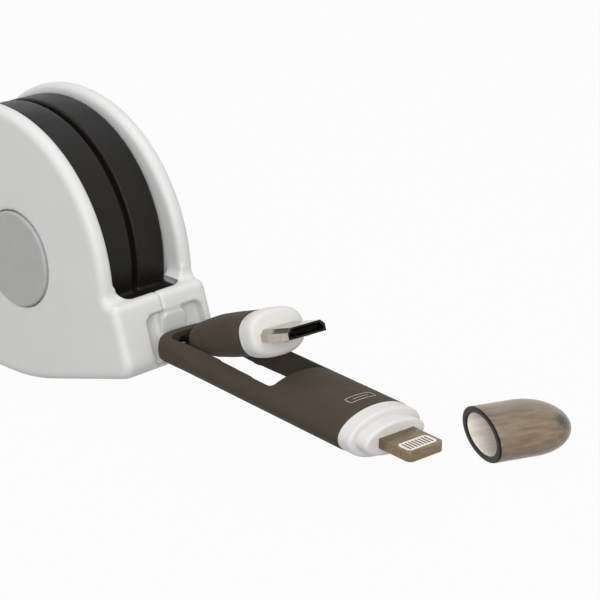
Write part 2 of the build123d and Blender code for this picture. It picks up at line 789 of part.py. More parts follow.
with BuildPart() as contact_insert:
    with BuildSketch(adapter_frame.offset(-tab_thickness / 2)) as insert_plan:
        with Locations((insert_start, 0)):
            Rectangle(insert_length, insert_width, align=(Align.MIN, Align.CENTER))
        fillet(insert_plan.vertices(), insert_corner)
    extrude(amount=tab_thickness)
    for face in (1, -1):
        with BuildSketch(adapter_frame.offset(face * tab_thickness / 2)):
            with Locations((ring_two_end + contact_back + contact_length / 2, 0)):
                with GridLocations(0, contact_pitch, 1, contact_count):
                    Rectangle(contact_length, contact_width)
        extrude(amount=-face * contact_thickness, mode=Mode.SUBTRACT)
contact_insert.part.label = "contact_insert"

with BuildPart() as adapter_contacts:
    for face in (1, -1):
        with BuildSketch(adapter_frame.offset(face * tab_thickness / 2)):
            with Locations((ring_two_end + contact_back + contact_length / 2, 0)):
                with GridLocations(0, contact_pitch, 1, contact_count):
                    Rectangle(contact_length, contact_width)
        extrude(amount=-face * contact_thickness)
adapter_contacts.part.label = "adapter_contacts"


def shell_outline(frame, along, inset):
    """Mouth shape of the small plug: wide below, with its upper corners cut off."""
    half_w = shell_width / 2 - inset
    half_h = shell_thickness / 2 - inset
    with BuildSketch(section_of(frame, along)) as outline:
        Polygon(
            (-half_w, -half_h),
            (half_w, -half_h),
            (half_w, half_h - shell_chamfer),
            (half_w - shell_chamfer, half_h),
            (shell_chamfer - half_w, half_h),
            (-half_w, half_h - shell_chamfer),
            align=None,
        )
    return outline.sketch


# Plug: moulded grip that tapers to the cable, white collar, metal shell with two latch hooks
with BuildPart() as plug_grip:
    for along, half_w, half_h in (
        (grip_start, grip_tail_half_width, grip_tail_half_height),
        ((grip_start + collar_start) / 2, grip_half_width, grip_half_height),
        (collar_start, grip_half_width, grip_half_height),
    ):
        with BuildSketch(section_of(plug_frame, along)):
            Ellipse(half_w, half_h)
    loft()
plug_grip.part.label = "plug_grip"

with BuildPart() as plug_collar:
    with BuildSketch(section_of(plug_frame, collar_start)):
        Ellipse(collar_half_width, collar_half_height)
    extrude(amount=shell_start - collar_start)
    ends = plug_collar.edges().filter_by(lambda e: e.length > 3 * collar_half_width)
    ends = ends.sort_by(lambda e: plug_frame.to_local_coords(e.center()).X)
    fillet(ends[-1], collar_round)
    seat = shell_outline(plug_frame, shell_start - shell_root, 0)
    extrude(seat, amount=2 * shell_root, mode=Mode.SUBTRACT)
plug_collar.part.label = "plug_collar"

with BuildPart() as plug_shell:
    shell_back = shell_start - shell_root
    extrude(shell_outline(plug_frame, shell_back, 0), amount=shell_end - shell_back)
    for side in (1, -1):
        with BuildSketch(side_of(plug_frame).offset(side * hook_spread / 2 - hook_width / 2)):
            Polygon(
                (shell_end - 2 * hook_length, -shell_thickness / 2 + shell_sheet),
                (shell_end - 2 * hook_length, -shell_thickness / 2 - hook_drop),
                (shell_end - hook_length, -shell_thickness / 2),
                (shell_end - hook_length, -shell_thickness / 2 + shell_sheet),
                align=None,
            )
        extrude(amount=hook_width)
    extrude(
        shell_outline(plug_frame, shell_start - shell_root + shell_sheet, shell_sheet),
        amount=2 * shell_end,
        mode=Mode.SUBTRACT,
    )
plug_shell.part.label = "plug_shell"

with BuildPart() as plug_tongue:
    with BuildSketch(section_of(plug_frame, shell_start - shell_root + shell_sheet)):
        Rectangle(tongue_width, tongue_thickness)
    extrude(amount=shell_root + shell_end - shell_start - 3 * shell_sheet)
plug_tongue.part.label = "plug_tongue"

with BuildPart() as plug_tail:
    with BuildSketch(side_of(plug_frame).offset(-cable_width / 2)):
        Circle(tail_round)
        Rectangle(grip_start, cable_thickness, align=(Align.MIN, Align.CENTER))
    extrude(amount=cable_width)
plug_tail.part.label = "plug_tail"

# Cap: an oval bullet lying on its side
cap_frame = Plane(
    origin=(cap_x, cap_y, cap_half_height),
    x_dir=(cos(radians(cap_yaw)), sin(radians(cap_yaw)), 0),
    z_dir=(0, 0, 1),
)
with BuildPart() as dust_cap:
    for inset, mode in ((0, Mode.ADD), (cap_wall, Mode.SUBTRACT)):
        with BuildSketch(Plane.XY) as bullet:
            with Locations((cap_straight, 0)):
                Ellipse(cap_length - cap_straight - inset, cap_half_height - inset)
                Rectangle(far, far, align=(Align.CENTER, Align.MAX), mode=Mode.SUBTRACT)
                Rectangle(far, far, align=(Align.MAX, Align.CENTER), mode=Mode.SUBTRACT)
            Rectangle(cap_straight, cap_half_height - inset, align=(Align.MIN, Align.MIN))
        revolve(axis=Axis.X, mode=mode)
    width_ratio = cap_half_width / cap_half_height
    scale(by=(1, width_ratio, 1))
dust_cap.part.label = "dust_cap"
dust_cap.part.locate(cap_frame.location)

housing_pieces = (button_side_cover, screw_side_cover, button_side_casing, screw_side_casing)
fittings = (axle, pawl_pin, pawl_spring, button_spring, cover_screws, rear_grommet, dust_cap)
spool_pieces = (spool, ratchet_flange, spring_cover, mainspring, wound_cable)
levers = (pawl, release_button)
adapter_metal = (adapter_socket, adapter_tab, adapter_contacts)
adapter_pieces = (cable_lead, adapter_body, adapter_collar, contact_insert) + adapter_metal
plug_pieces = (plug_tail, plug_grip, plug_collar, plug_shell, plug_tongue)
pieces = housing_pieces + fittings + spool_pieces + levers + adapter_pieces + plug_pieces
for piece in pieces:
    export_step(piece.part, f"parts/{piece.part.label}.step")
print("cable leaves at", round(degrees(lead_pitch), 3), "degrees")
print("straight cable", round(lead_length, 2), "mm")
print("pull for each tooth", round(lead_radius * 2 * pi / ratchet_count, 3), "mm")
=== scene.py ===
"""Retractable charging cable, dressed for a plain studio picture.

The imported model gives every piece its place. This script makes smooth, soft-edged meshes round the
visible solids, gives each surface its finish, and sets the floor, the lamps and the camera. Lengths are
in millimetres and angles in degrees where nothing else is said.
"""

from __future__ import annotations

import json
import logging
import math
from dataclasses import dataclass, field, replace
from enum import Enum, IntEnum

import bmesh
import bpy
from bmesh.types import BMesh, BMVert
from bpy.types import ID, Material, Node, NodeSocket, NodeTree, Object
from mathutils import Matrix, Vector


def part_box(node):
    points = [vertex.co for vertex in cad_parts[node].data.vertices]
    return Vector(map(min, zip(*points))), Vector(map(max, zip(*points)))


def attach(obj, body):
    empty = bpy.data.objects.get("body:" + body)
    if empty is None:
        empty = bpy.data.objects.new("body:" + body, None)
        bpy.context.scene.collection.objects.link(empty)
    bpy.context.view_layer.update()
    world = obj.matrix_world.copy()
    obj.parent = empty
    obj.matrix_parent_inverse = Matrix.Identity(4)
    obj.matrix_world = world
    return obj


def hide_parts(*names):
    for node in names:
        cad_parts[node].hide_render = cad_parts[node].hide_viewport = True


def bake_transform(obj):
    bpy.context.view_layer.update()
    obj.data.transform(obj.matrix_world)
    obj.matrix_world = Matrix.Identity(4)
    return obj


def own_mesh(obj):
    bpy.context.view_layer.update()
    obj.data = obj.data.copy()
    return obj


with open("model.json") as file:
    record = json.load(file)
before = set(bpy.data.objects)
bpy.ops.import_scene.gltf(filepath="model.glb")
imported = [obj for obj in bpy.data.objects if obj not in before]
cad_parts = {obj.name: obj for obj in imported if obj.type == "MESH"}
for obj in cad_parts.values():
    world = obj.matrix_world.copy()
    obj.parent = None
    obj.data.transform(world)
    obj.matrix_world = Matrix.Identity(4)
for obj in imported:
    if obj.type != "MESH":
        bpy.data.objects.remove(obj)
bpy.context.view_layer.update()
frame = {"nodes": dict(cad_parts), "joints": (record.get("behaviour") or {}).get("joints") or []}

# One millimetre in the frame's metres
MM = 0.001
LOG = logging.getLogger("charging_cable")

# Colour slots of a Mix node, whose inputs share their names
MIX_FIRST = 6
MIX_SECOND = 7
MIX_RESULT = 2
# Range that most values of a noise texture lie in
NOISE_RANGE = (0.3, 0.7)

# Distance below which two corners of a solid are one
MERGE = 0.0005
# Angle below which two faces of a solid count as one, and angle past which an edge gets a fine round
FLAT_TURN = 0.5
SHARP_TURN = 35.0
# Angles past which an edge stays sharp when a form is shaded
SKIN_EDGE = 32.0
LOFT_EDGE = 40.0
CAP_EDGE = 60.0
SOFT_EDGE = 80.0

# Turns of the adapter and the plug about Z, and the plug's rise
ADAPTER_YAW = -5.24
PLUG_YAW = -8.0
PLUG_PITCH = 20.0
# Distance from the plug's hinge back to the start of the adapter's axis
HINGE_TO_START = 2.9
# Distance from the lead's lowest corner to its middle line
LEAD_INSET = 0.6


class Body(str, Enum):
    """Rigid bodies of the model, each one a thing that moves as a whole."""

    HOUSING = "housing"
    SPOOL = "spool"
    BUTTON = "button"
    PAWL = "pawl"
    ADAPTER = "adapter"
    PLUG = "plug"


class CapSide(IntEnum):
    """Places of the cap's outside finish, its lip with painted shade and its inside with painted light
    among its materials.
    """

    OUTSIDE = 0
    LIP = 1
    INSIDE = 2


def linear(tone: str) -> tuple[float, float, float, float]:
    """Turns an sRGB hex colour into linear light.

    Args:
        tone: Colour such as "#d8d8d6".

    Returns:
        Red, green, blue and an alpha of one.
    """
    parts = [int(tone[i : i + 2], 16) / 255 for i in (1, 3, 5)]
    red, green, blue = (c / 12.92 if c <= 0.04045 else ((c + 0.055) / 1.055) ** 2.4 for c in parts)
    return red, green, blue, 1.0


def add_node(tree: NodeTree, kind: str, settings: dict | None = None, links: dict | None = None) -> Node:
    """Adds a node with its settings and links.

    Args:
        tree: Node tree that gets the node.
        kind: Blender's name for the type of node.
        settings: Values by input name or number, or by the name of one of the node's own fields.
        links: Output sockets by the name or number of the input that they feed.

    Returns:
        The new node.
    """
    node = tree.nodes.new(kind)
    for key, value in (settings or {}).items():
        if not isinstance(key, int) and key not in node.inputs:
            setattr(node, key, value)
    for key, value in (settings or {}).items():
        if isinstance(key, int) or key in node.inputs:
            node.inputs[key].default_value = value
    for key, source in (links or {}).items():
        tree.links.new(source, node.inputs[key])
    return node


def noise(tree: NodeTree, place: NodeSocket, size: float, detail: float = 2.0) -> NodeSocket:
    """Adds a noise texture.

    Args:
        tree: Node tree that gets it.
        place: Where on the object it is asked.
        size: Size of its clouds.
        detail: How many finer layers it has.

    Returns:
        Its value.
    """
    settings = {"Scale": 1 / (size * MM), "Detail": detail}
    return add_node(tree, "ShaderNodeTexNoise", settings, {"Vector": place}).outputs[0]


def remap(
    tree: NodeTree,
    value: NodeSocket,
    source: tuple[float, float],
    goal: tuple[float, float] = (0.0, 1.0),
) -> NodeSocket:
    """Turns one range of values into another.

    Args:
        tree: Node tree that gets the node.
        value: The values.
        source: Range that they are in.
        goal: Range that they get, from the source's start to its end.

    Returns:
        The new values.
    """
    ends = zip(("From Min", "From Max", "To Min", "To Max"), source + goal)
    return add_node(tree, "ShaderNodeMapRange", dict(ends), {"Value": value}).outputs[0]


def two_tones(tree: NodeTree, share: NodeSocket, first: str, second: str) -> NodeSocket:
    """Mixes two colours.

    Args:
        tree: Node tree that gets the node.
        share: Share of the second colour.
        first: First colour.
        second: Second colour.

    Returns:
        The mixed colour.
    """
    tones = {"data_type": "RGBA", MIX_FIRST: linear(first), MIX_SECOND: linear(second)}
    return add_node(tree, "ShaderNodeMix", tones, {0: share}).outputs[MIX_RESULT]


def relief(tree: NodeTree, height: NodeSocket, depth: float, strength: float = 0.5) -> NodeSocket:
    """Turns a pattern into fine relief.

    Args:
        tree: Node tree that gets the node.
        height: The pattern.
        depth: Depth of the relief.
        strength: Share of the relief that shows.

    Returns:
        The normal of the surface.
    """
    size = {"Strength": strength, "Distance": depth * MM}
    return add_node(tree, "ShaderNodeBump", size, {"Height": height}).outputs[0]


def blank_material(name: str) -> Material:
    """Makes a material with an empty node tree.

    Args:
        name: Name of the material.

    Returns:
        The new material.
    """
    made = bpy.data.materials.new(name)
    made.use_nodes = True
    made.node_tree.nodes.clear()
    return made


@dataclass(frozen=True)
class Finish:
    """A surface finish, which makes its material once.

    Attributes:
        name: Name of the material. It differs from the record's slots, whose plain materials are loaded.
    """

    name: str

    def material(self) -> Material:
        """Makes the material, or finds it if it was made before.

        Returns:
            The finish's material.
        """
        if self.name in bpy.data.materials:
            return bpy.data.materials[self.name]
        made = blank_material(self.name)
        shader = self.shader(made.node_tree)
        add_node(made.node_tree, "ShaderNodeOutputMaterial", links={"Surface": shader.outputs[0]})
        return made

    def shader(self, tree: NodeTree) -> Node:
        """Builds the finish's nodes.

        Args:
            tree: Empty node tree of the material.

        Returns:
            The shader that goes to the output.
        """
        raise NotImplementedError(self.name)


@dataclass(frozen=True)
class Moulding(Finish):
    """Moulded plastic or rubber: mottled tone, uneven gloss and the fine grain of the mould.

    Attributes:
        tone: Main colour.
        shade: Colour of the faint clouds in it.
        roughness: Mean roughness.
        specular: Strength of the surface reflection, 0.5 for plain plastic.
        cloud: Size of the clouds.
        grain: Size of the mould's grain.
        depth: Depth of that grain.
        sheen: Weight of the powdery sheen of soft rubber.
        uneven: How far the roughness strays from its mean.
    """

    tone: str
    shade: str
    roughness: float
    specular: float = 0.5
    cloud: float = 5.0
    grain: float = 0.25
    depth: float = 0.01
    sheen: float = 0.0
    uneven: float = 0.05

    def shader(self, tree: NodeTree) -> Node:
        """Builds clouds in the colour and gloss, and the mould's grain as bump.

        Args:
            tree: Empty node tree of the material.

        Returns:
            The shader that goes to the output.
        """
        place = add_node(tree, "ShaderNodeTexCoord").outputs["Object"]
        cloud = noise(tree, place, self.cloud)
        gloss = (self.roughness - self.uneven, self.roughness + self.uneven)
        return add_node(
            tree,
            "ShaderNodeBsdfPrincipled",
            {"Specular IOR Level": self.specular, "Sheen Weight": self.sheen, "Sheen Roughness": 0.4},
            {
                "Base Color": two_tones(tree, cloud, self.tone, self.shade),
                "Roughness": remap(tree, cloud, NOISE_RANGE, gloss),
                "Normal": relief(tree, noise(tree, place, self.grain, 3.0), self.depth, 0.6),
            },
        )


@dataclass(frozen=True)
class Metal(Finish):
    """Plated or drawn metal with fine lines along one direction.

    Attributes:
        tone: Main colour.
        shade: Colour of the duller patches.
        roughness: Mean roughness.
        line: Width of the drawing lines.
        stretch: How much longer the lines are than wide, along X, Y and Z.
        depth: Depth of the lines.
        uneven: How far the roughness strays from its mean.
    """

    tone: str
    shade: str
    roughness: float
    line: float = 0.12
    stretch: tuple[float, float, float] = (12.0, 1.0, 1.0)
    depth: float = 0.004
    uneven: float = 0.06

    def shader(self, tree: NodeTree) -> Node:
        """Builds the drawing lines in colour, gloss and bump.

        Args:
            tree: Empty node tree of the material.

        Returns:
            The shader that goes to the output.
        """
        place = add_node(tree, "ShaderNodeTexCoord").outputs["Object"]
        squeeze = tuple(1 / share for share in self.stretch)
        drawn = add_node(tree, "ShaderNodeMapping", {"Scale": squeeze}, {"Vector": place})
        lines = noise(tree, drawn.outputs[0], self.line)
        gloss = (self.roughness - self.uneven, self.roughness + self.uneven)
        return add_node(
            tree,
            "ShaderNodeBsdfPrincipled",
            {"Metallic": 1.0},
            {
                "Base Color": two_tones(tree, lines, self.tone, self.shade),
                "Roughness": remap(tree, lines, NOISE_RANGE, gloss),
                "Normal": relief(tree, lines, self.depth),
            },
        )


@dataclass(frozen=True)
class SmokedPlastic(Finish):
    """Tinted see-through plastic, slightly frosted, with flow marks and a darker cloud at its gate.

    Attributes:
        tone: Colour of the plastic where the light has a short way through it.
        flow_tone: Colour in the flow marks.
        gate_tone: Colour at the gate mark.
        roughness: Roughness of the moulded surface.
        clear: Share of the light that passes through.
        specular: Strength of the surface reflection.
        gate: Place of the gate mark in the row frame, in metres.
        gate_size: Radius of the mark.
        gate_core: Share of that radius that is darkest.
        yaw: Direction of the flow, as a turn about Z.
        flow: Width of the flow marks.
        flow_range: Values of the noise between which a flow mark comes up.
        stretch: How much longer the flow marks are than wide.
        speck: Size of the fine specks.
        depth: Depth of the specks' relief.
        bending: Index of refraction.
    """

    tone: str
    flow_tone: str
    gate_tone: str
    roughness: float
    clear: float
    specular: float = 0.5
    gate: tuple[float, float, float] = (0.0, 0.0, 1.0)
    gate_size: float = 2.0
    gate_core: float = 0.3
    yaw: float = 66.0
    flow: float = 0.8
    flow_range: tuple[float, float] = (0.35, 0.7)
    stretch: float = 5.0
    speck: float = 0.35
    depth: float = 0.02
    bending: float = 1.49

    def shader(self, tree: NodeTree) -> Node:
        """Builds flow marks along the part, fine specks and the cloud at the gate.

        Args:
            tree: Empty node tree of the material.

        Returns:
            The shader that goes to the output.
        """
        place = add_node(tree, "ShaderNodeTexCoord").outputs["Object"]
        turn = {"rotation_type": "Z_AXIS", "Angle": -math.radians(self.yaw)}
        turned = add_node(tree, "ShaderNodeVectorRotate", turn, {"Vector": place})
        squeeze = (1 / self.stretch, 1.0, 1.0)
        drawn = add_node(tree, "ShaderNodeMapping", {"Scale": squeeze}, {"Vector": turned.outputs[0]})
        specks = noise(tree, place, self.speck)
        streaks = remap(tree, noise(tree, drawn.outputs[0], self.flow, 5.0), self.flow_range)
        away = add_node(tree, "ShaderNodeVectorMath", {"operation": "DISTANCE", 1: self.gate}, {0: place})
        mark = (self.gate_core * self.gate_size * MM, self.gate_size * MM)
        near = remap(tree, away.outputs["Value"], mark, (2.0, 0.0))
        product = {"operation": "MULTIPLY", "use_clamp": True}
        broken = add_node(tree, "ShaderNodeMath", product, {0: near, 1: specks})
        tint = add_node(
            tree,
            "ShaderNodeMix",
            {"data_type": "RGBA", MIX_SECOND: linear(self.gate_tone)},
            {0: broken.outputs[0], MIX_FIRST: two_tones(tree, streaks, self.tone, self.flow_tone)},
        )
        return add_node(
            tree,
            "ShaderNodeBsdfPrincipled",
            {
                "Roughness": self.roughness,
                "IOR": self.bending,
                "Transmission Weight": self.clear,
                "Specular IOR Level": self.specular,
            },
            {"Base Color": tint.outputs[MIX_RESULT], "Normal": relief(tree, specks, self.depth)},
        )


# ABS with a satin mould: pale silver grey, soft highlights along every rounded rim
SATIN_ABS = Moulding(
    "satin_moulded_abs", "#dbdbda", "#d5d5d4", 0.42, specular=0.45, cloud=9.0, grain=0.3, depth=0.006
)
# ABS with spark-eroded grain: deep black that still shows a brown sheen on its shoulders
BLACK_ABS = Moulding(
    "grained_black_abs", "#171513", "#131110", 0.46, specular=0.2, cloud=4.0, grain=0.22, depth=0.012
)
# Matt ABS of the push button, a step darker than the side that it sits in
BUTTON_ABS = Moulding(
    "matt_button_abs", "#b4b4b3", "#acacab", 0.55, specular=0.35, cloud=3.0, grain=0.28, depth=0.012
)
# Soft overmoulded elastomer: grey-brown, matt, powdery at grazing angles
SOFT_ELASTOMER = Moulding(
    "overmoulded_elastomer", "#4b4338", "#433c32", 0.68,
    specular=0.1, cloud=3.5, grain=0.22, depth=0.014, sheen=0.01,
)
# White ABS collars: brighter than the housing, with soft gloss
WHITE_ABS = Moulding("white_moulded_abs", "#dad9d6", "#d4d3d0", 0.4, specular=0.4, cloud=4.0, depth=0.006)
# Elastomer jacket of the flat cable and its sleeve: deep matt black
CABLE_JACKET = Moulding(
    "matt_jacket_elastomer", "#0f0d0c", "#131110", 0.75, specular=0.08, cloud=1.5, grain=0.2, depth=0.014
)
# Nitrile rubber of the rear grommet: dull black
NITRILE = Moulding("nitrile_rubber", "#1c1b1a", "#242321", 0.7, specular=0.3, cloud=2.0, depth=0.02)
# Natural acetal of the spool and pawl: creamy and smooth
ACETAL = Moulding(
    "natural_acetal", "#dcd8cc", "#d3cfc2", 0.4, specular=0.45, cloud=4.0, grain=0.3, depth=0.004
)
# Glass-filled insert round the contacts: white and slightly rough
CONTACT_WHITE = Moulding(
    "glass_filled_insert", "#e8e4dd", "#d9d3ca", 0.5, specular=0.4, cloud=0.8, grain=0.12, depth=0.006
)
# Insulator in the mouth of the small plug: black and dull
INSULATOR = Moulding(
    "plug_insulator", "#070606", "#0a0909", 0.7, specular=0.06, cloud=1.0, grain=0.15, depth=0.008
)
# Sheared front edge of the plug's sheet, bare of its plate; its near-black tone is painted shade that makes
# it dark against the bright sides
SHELL_FRONT_SHADE = Moulding(
    "shell_front_painted_shade", "#191614", "#26221e", 0.5, specular=0.15, cloud=0.4, grain=0.08, depth=0.006
)
# Ink of the small printed frame: pale, warm and flat
MARK_INK = Moulding(
    "pale_pad_print", "#b9ab9a", "#a79a8b", 0.55, specular=0.3, cloud=1.0, grain=0.12, depth=0.004
)
# Nickel plate on drawn steel: bright with lines along the draw
NICKEL = Metal("nickel_plated_steel", "#c9c1b5", "#9c9386", 0.2)
# Satin plate of the flat tab: warm brownish grey
TAB_PLATE = Metal("satin_plated_tab", "#9a866d", "#66563f", 0.26, line=0.5, stretch=(1.0, 4.0, 1.0))
# Gold plate of the contacts, which the photograph's light shows dark and bronze
CONTACT_PLATE = Metal("contact_plate", "#6d5c49", "#4d4034", 0.35, line=0.1, stretch=(4.0, 1.0, 1.0))
# Zinc plate on the screws, pins and axle: cool and fairly bright
ZINC = Metal("zinc_plated_steel", "#c4c5c8", "#a9abaf", 0.3)
# Tempered strip and wire of the springs: blue-grey and satin
SPRING_STEEL = Metal("tempered_spring_steel", "#9fa2a8", "#7d8087", 0.32)
# Smoked polycarbonate of the cap: brown-grey, frosted, with a darker cloud at its gate
SMOKED_WALL = SmokedPlastic("smoked_polycarbonate", "#907e68", "#735f48", "#2f2d2a", 0.24, clear=0.2)
# The cap's lip, opaque and painted dark: painted shade for the light that leaves it after a long way
# through the wall
SMOKED_LIP_SHADE = SmokedPlastic("smoked_lip_painted_shade", "#24201b", "#1b1814", "#24201b", 0.35, clear=0.0, specular=0.15)
# The cap's inside, opaque and painted pale: painted light for the light that comes to it through the wall
SMOKED_INSIDE_LIGHT = SmokedPlastic("smoked_inside_painted_light", "#fbf6ee", "#e6ddd0", "#fbf6ee", 0.18, clear=0.0)


def merged_copy(node: str) -> BMesh:
    """Copies the mesh of a solid and joins its loose triangles.

    Args:
        node: Name of the solid.

    Returns:
        A closed bmesh in the row frame.
    """
    bm = bmesh.new()
    bm.from_mesh(frame["nodes"][node].data)
    bmesh.ops.remove_doubles(bm, verts=bm.verts, dist=MERGE * MM)
    bmesh.ops.dissolve_degenerate(bm, dist=MERGE * MM, edges=bm.edges)
    for face in bm.faces:
        face.material_index = 0
    return bm


def smooth_by_angle(bm: BMesh, limit: float) -> None:
    """Shades every face smooth and keeps those edges sharp that turn more than a limit.

    Args:
        bm: Mesh to shade.
        limit: Angle past which an edge stays sharp.
    """
    for face in bm.faces:
        face.smooth = True
    for edge in bm.edges:
        edge.smooth = len(edge.link_faces) == 2 and edge.calc_face_angle() < math.radians(limit)


def put_in_scene(bm: BMesh, name: str) -> Object:
    """Turns a bmesh into a linked object at the origin and frees it.

    Args:
        bm: Mesh of the object, in the row frame.
        name: Name of the object and its mesh.

    Returns:
        The new object.
    """
    mesh = bpy.data.meshes.new(name)
    bm.to_mesh(mesh)
    bm.free()
    piece = bpy.data.objects.new(name, mesh)
    bpy.context.scene.collection.objects.link(piece)
    return piece


def bridge_rings(bm: BMesh, rings: list[list[BMVert]]) -> None:
    """Joins closed rings, one after the other, and closes both ends.

    Args:
        bm: Mesh that the rings are in.
        rings: Vertices of each ring, from the back to the front.
    """
    loops = [list(dict.fromkeys(e for vert in ring for e in vert.link_edges)) for ring in rings]
    for back, front in zip(loops, loops[1:]):
        bmesh.ops.bridge_loops(bm, edges=back + front)
    for ring in (rings[0], rings[-1]):
        bmesh.ops.contextual_create(bm, geom=ring)


@dataclass(frozen=True)
class Softening:
    """How far a soft moulding's edges are rounded.

    Attributes:
        cell: Size of the new mesh's cells.
        rounds: Number of smoothing passes.
        keep: Share of the faces that stay where the surface is plain.
        yaw: Turn of the cells about Z, so that long edges lie along them.
        pull: Share of the way to its neighbours' middle that a pass moves a corner.
    """

    cell: float
    rounds: int
    keep: float
    yaw: float = 0.0
    pull: float = 0.5


@dataclass
class Dresser:
    """Makes pieces, dresses them and ties them to the model.

    Attributes:
        body: Body that every piece of this dresser rides on.
    """

    body: Body

    def dress(self, piece: Object, finish: Finish, slot: str, stands_for: tuple[str, ...] = ()) -> None:
        """Gives a piece its material and its body.

        Args:
            piece: The finished object.
            finish: Finish whose material it takes.
            slot: Name of the record's material slot; not used.
            stands_for: Solids that the piece takes the place of.
        """
        piece.data.materials.append(finish.material())
        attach(piece, self.body.value)
        if stands_for:
            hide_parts(*stands_for)
        LOG.info("%s rides on %s", piece.name, self.body.value)

    def skin(self, node: str, name: str, finish: Finish, slot: str, edge: float = 0.0) -> Object:
        """Makes a smooth-shaded skin that takes a solid's place.

        Args:
            node: Solid to stand for.
            name: Name of the new piece.
            finish: Finish of the piece.
            slot: Record's material slot.
            edge: Width of the fine round on its sharp edges.

        Returns:
            The new piece.
        """
        bm = merged_copy(node)
        if edge:
            flat, turn = math.radians(FLAT_TURN), math.radians(SHARP_TURN)
            bmesh.ops.dissolve_limit(bm, angle_limit=flat, verts=bm.verts, edges=bm.edges)
            sharp = [e for e in bm.edges if len(e.link_faces) == 2 and e.calc_face_angle() > turn]
            bmesh.ops.bevel(
                bm,
                geom=sharp,
                offset=edge * MM,
                offset_type="OFFSET",
                segments=2,
                profile=0.5,
                affect="EDGES",
                clamp_overlap=True,
                material=-1,
            )
        smooth_by_angle(bm, SKIN_EDGE)
        piece = put_in_scene(bm, name)
        even = piece.modifiers.new("even shading", "WEIGHTED_NORMAL")
        even.keep_sharp = True
        self.dress(piece, finish, slot, (node,))
        return piece

    def soft_skin(self, node: str, name: str, finish: Finish, slot: str, soft: Softening) -> Object:
        """Makes a skin whose edges are all rounded, as on a soft moulding.

        Args:
            node: Solid to stand for.
            name: Name of the new piece.
            finish: Finish of the piece.
            slot: Record's material slot.
            soft: How far its edges are rounded.

        Returns:
            The new piece.
        """
        solid = merged_copy(node)
        turn = Matrix.Rotation(math.radians(soft.yaw), 3, "Z")
        bmesh.ops.rotate(solid, matrix=turn.transposed(), verts=solid.verts)
        rough = put_in_scene(solid, name + "_rough")
        cells = rough.modifiers.new("even cells", "REMESH")
        cells.mode = "VOXEL"
        cells.voxel_size = soft.cell * MM
        softer = rough.modifiers.new("rounded edges", "SMOOTH")
        softer.factor = soft.pull
        softer.iterations = soft.rounds
        fewer = rough.modifiers.new("fewer faces", "DECIMATE")
        fewer.ratio = soft.keep
        graph = bpy.context.evaluated_depsgraph_get()
        shape = bpy.data.meshes.new_from_object(rough.evaluated_get(graph))
        bpy.data.objects.remove(rough)
        bm = bmesh.new()
        bm.from_mesh(shape)
        bpy.data.meshes.remove(shape)
        bmesh.ops.rotate(bm, matrix=turn, verts=bm.verts)
        smooth_by_angle(bm, SOFT_EDGE)
        piece = put_in_scene(bm, name)
        self.dress(piece, finish, slot, (node,))
        return piece

    def refinish(self, node: str, finish: Finish) -> None:
        """Gives a better material to a solid that stays as it is.

        Args:
            node: The solid.
            finish: Its finish.
        """
        for place in frame["nodes"][node].material_slots:
            place.material = finish.material()
        LOG.info("%s keeps its solid", node)


@dataclass
class Housing(Dresser):
    """Two cheeks, the black casing between them, screws and the rear grommet.

    Attributes:
        press: How far the push button presses its spring together; not used.
        cheek_soft: Rounding of the pale halves' edges.
        casing_soft: Rounding of the black casing's edges.
        screw_edge: Round on the screws' edges.
    """

    body: Body = Body.HOUSING
    press: float = 1.3
    cheek_soft: Softening = Softening(0.28, 5, 0.4)
    casing_soft: Softening = Softening(0.24, 7, 0.3)
    screw_edge: float = 0.08

    def build(self) -> None:
        """Dresses the outer shells, the casing and the small fittings."""
        for node, name, finish, slot, soft in (
            ("button_side_cover", "button_cheek", SATIN_ABS, "cover_plastic", self.cheek_soft),
            ("screw_side_cover", "screw_cheek", SATIN_ABS, "cover_plastic", self.cheek_soft),
            ("button_side_casing", "button_casing", BLACK_ABS, "casing_plastic", self.casing_soft),
            ("screw_side_casing", "screw_casing", BLACK_ABS, "casing_plastic", self.casing_soft),
        ):
            self.soft_skin(node, name, finish, slot, soft)
        self.skin("rear_grommet", "grommet", NITRILE, "grommet_rubber")
        self.skin("cover_screws", "screws", ZINC, "steel", self.screw_edge)
        for node in ("axle", "pawl_pin"):
            self.refinish(node, ZINC)
        self.refinish("pawl_spring", SPRING_STEEL)
        self.return_spring()

    def return_spring(self) -> None:
        """Makes the button's spring as a skin of its solid, with a mesh of its own."""
        spring = self.skin("button_spring", "return_spring", SPRING_STEEL, "spring_steel")
        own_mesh(spring)


@dataclass
class Reel(Dresser):
    """The spool with its ratchet, mainspring and winding, which only a bench would show."""

    body: Body = Body.SPOOL

    def build(self) -> None:
        """Gives every inner solid its finish."""
        for node in ("spool", "ratchet_flange", "spring_cover"):
            self.refinish(node, ACETAL)
        self.refinish("mainspring", SPRING_STEEL)
        self.refinish("wound_cable", CABLE_JACKET)


@dataclass
class Latch(Dresser):
    """The pawl that drops into the ratchet."""

    body: Body = Body.PAWL

    def build(self) -> None:
        """Gives the pawl its finish."""
        self.refinish("pawl", ACETAL)


@dataclass
class PushButton(Dresser):
    """The round button in the near cheek."""

    body: Body = Body.BUTTON

    def build(self) -> None:
        """Dresses the button."""
        self.skin("release_button", "button_face", BUTTON_ABS, "button_plastic")


@dataclass
class HeadFrame:
    """Axes of the adapter or the plug.

    Attributes:
        origin: Start of its axis.
        yaw: Turn about Z.
        pitch: Rise of the axis.
    """

    origin: tuple[float, float, float]
    yaw: float
    pitch: float

    def matrix(self) -> Matrix:
        """Finds the way from the head's own axes to the row frame.

        Returns:
            Matrix from the head's millimetres to the row frame's metres.
        """
        yaw = Matrix.Rotation(math.radians(self.yaw), 4, "Z")
        pitch = Matrix.Rotation(-math.radians(self.pitch), 4, "Y")
        return Matrix.Translation(Vector(self.origin) * MM) @ yaw @ pitch @ Matrix.Scale(MM, 4)

    def ahead(self) -> Vector:
        """Finds the direction that the head points in.

        Returns:
            Unit vector along its axis.
        """
        return (self.matrix().to_3x3() @ Vector((1, 0, 0))).normalized()


